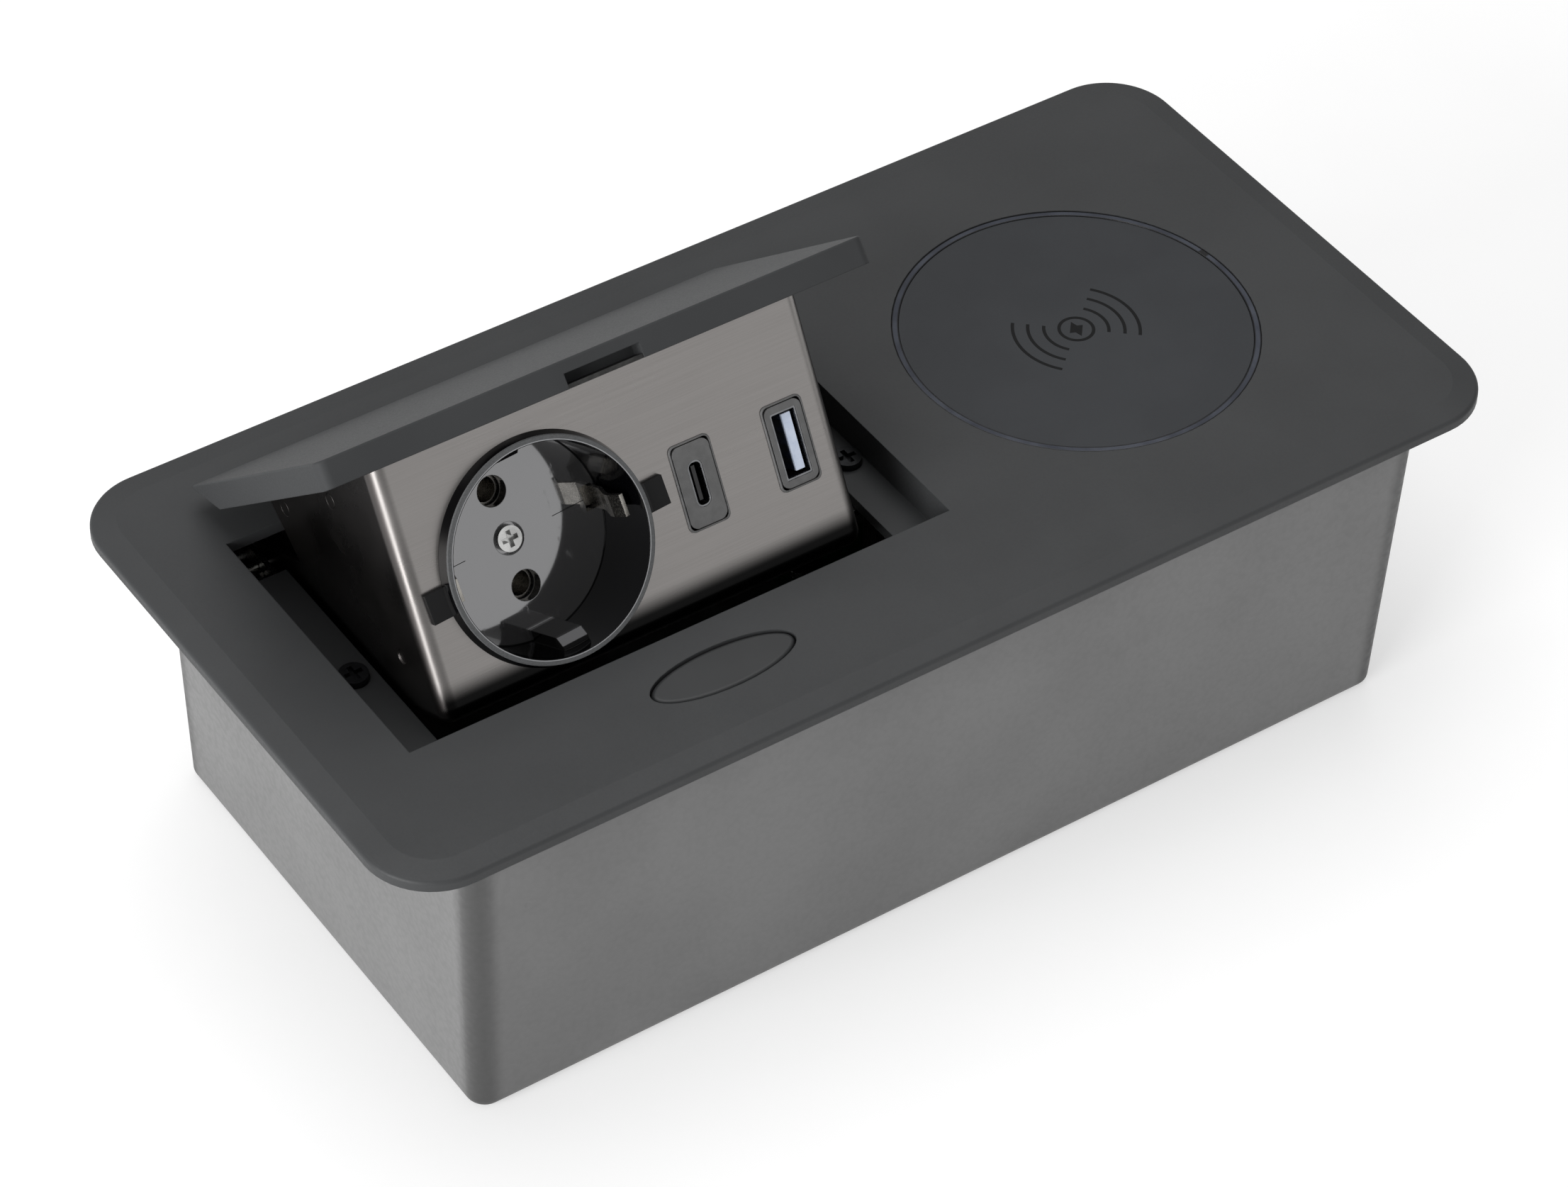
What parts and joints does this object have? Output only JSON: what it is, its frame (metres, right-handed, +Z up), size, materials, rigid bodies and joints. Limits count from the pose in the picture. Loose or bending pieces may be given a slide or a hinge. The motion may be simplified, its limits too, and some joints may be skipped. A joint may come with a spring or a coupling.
{
  "type": "in-desk power module",
  "caption": "Flush desk frame with a lidded pop-up unit holding an earthed socket and charging ports, a release button and a wireless charging disc, over a drafted casing.",
  "frame": {"origin": "middle of the casing's flat underside", "axes": "+X along the module from the pop-up unit to the charger, +Y to the hinge side, +Z up out of the desk"},
  "size_m": [0.246, 0.122, 0.1184],
  "materials": {
    "frame": "satin charcoal",
    "casing": "satin grey",
    "steel_screws": "bright zinc plated",
    "black_screws": "black oxide",
    "black_plastic": "fine matt black",
    "plated_steel": "zinc plated",
    "spring_steel": "bright wire",
    "light_guide": "smoked gloss",
    "charger_cover": "fine matt, slightly blue",
    "copper_winding": "enamelled copper",
    "ferrite": "sintered grey",
    "circuit_board": "green solder mask",
    "button_cap": "satin charcoal",
    "transformer_core": "varnished",
    "capacitor_sleeve": "dark sleeve",
    "terminal_plastic": "pale grey",
    "box_steel": "brushed gunmetal",
    "bush_plastic": "natural",
    "socket_plastic": "gloss black",
    "earth_brass": "nickel plated",
    "port_plastic": "textured dark grey",
    "port_shell": "nickel plated",
    "tongue_black": "black",
    "tongue_pale": "pale blue white"
  },
  "bodies": {
    "module": {"frame_plate": "frame", "housing": "casing", "case_screws": "steel_screws", "ledge_screws": "black_screws", "cable_gland": "black_plastic", "gland_nut": "black_plastic", "hinge_bracket_left": "plated_steel", "hinge_bracket_right": "plated_steel", "hinge_pins": "plated_steel", "pin_clips": "plated_steel", "ear_pegs": "plated_steel", "hinge_springs": "spring_steel", "light_ring": "light_guide", "charger_disc": "charger_cover", "charger_tray": "black_plastic", "tray_screws": "steel_screws", "charging_coil": "copper_winding", "ferrite_plate": "ferrite", "charger_board": "circuit_board", "light_board": "circuit_board", "button_guide": "black_plastic", "guide_screws": "steel_screws", "button_spring": "spring_steel", "power_board": "circuit_board", "board_screws": "steel_screws", "transformer": "transformer_core", "capacitors": "capacitor_sleeve", "terminal_block": "terminal_plastic"},
    "flip_unit": {"lid": "frame", "lid_strike": "plated_steel", "lid_rivets": "box_steel", "flip_box": "box_steel", "flip_back": "box_steel", "hinge_bushes": "bush_plastic", "arm_pegs": "plated_steel", "socket_insert": "socket_plastic", "socket_screw": "steel_screws", "earth_strip": "earth_brass", "socket_base": "black_plastic", "contact_sleeves": "earth_brass", "usb_c_plate": "port_plastic", "usb_c_shell": "port_shell", "usb_c_tongue": "tongue_black", "usb_a_plate": "port_plastic", "usb_a_shell": "port_shell", "usb_a_tongue": "tongue_pale", "usb_block": "black_plastic", "usb_board": "circuit_board"},
    "button": {"push_button": "button_cap"},
    "catch": {"latch_hook": "plated_steel"}
  },
  "joints": [
    {"name": "flip", "type": "hinge", "parent": "module", "child": "flip_unit", "pos_m": [0, 0.04605, 0.0562], "axis": [1, 0, 0], "range_deg": [0, 41], "stiffness_Nm_per_rad": 0.15, "springref_deg": -91.67, "deforming": ["hinge_springs"]},
    {"name": "press", "type": "slide", "parent": "module", "child": "button", "axis": [0, 0, -1], "range_m": [0, 0.0025], "stiffness_N_per_m": 300, "springref_m": -0.001, "deforming": ["button_spring"]},
    {"name": "catch_slide", "type": "slide", "parent": "module", "child": "catch", "axis": [0, 1, 0], "range_m": [0, 0.0025], "stiffness_N_per_m": 300, "springref_m": -0.001}
  ]
}
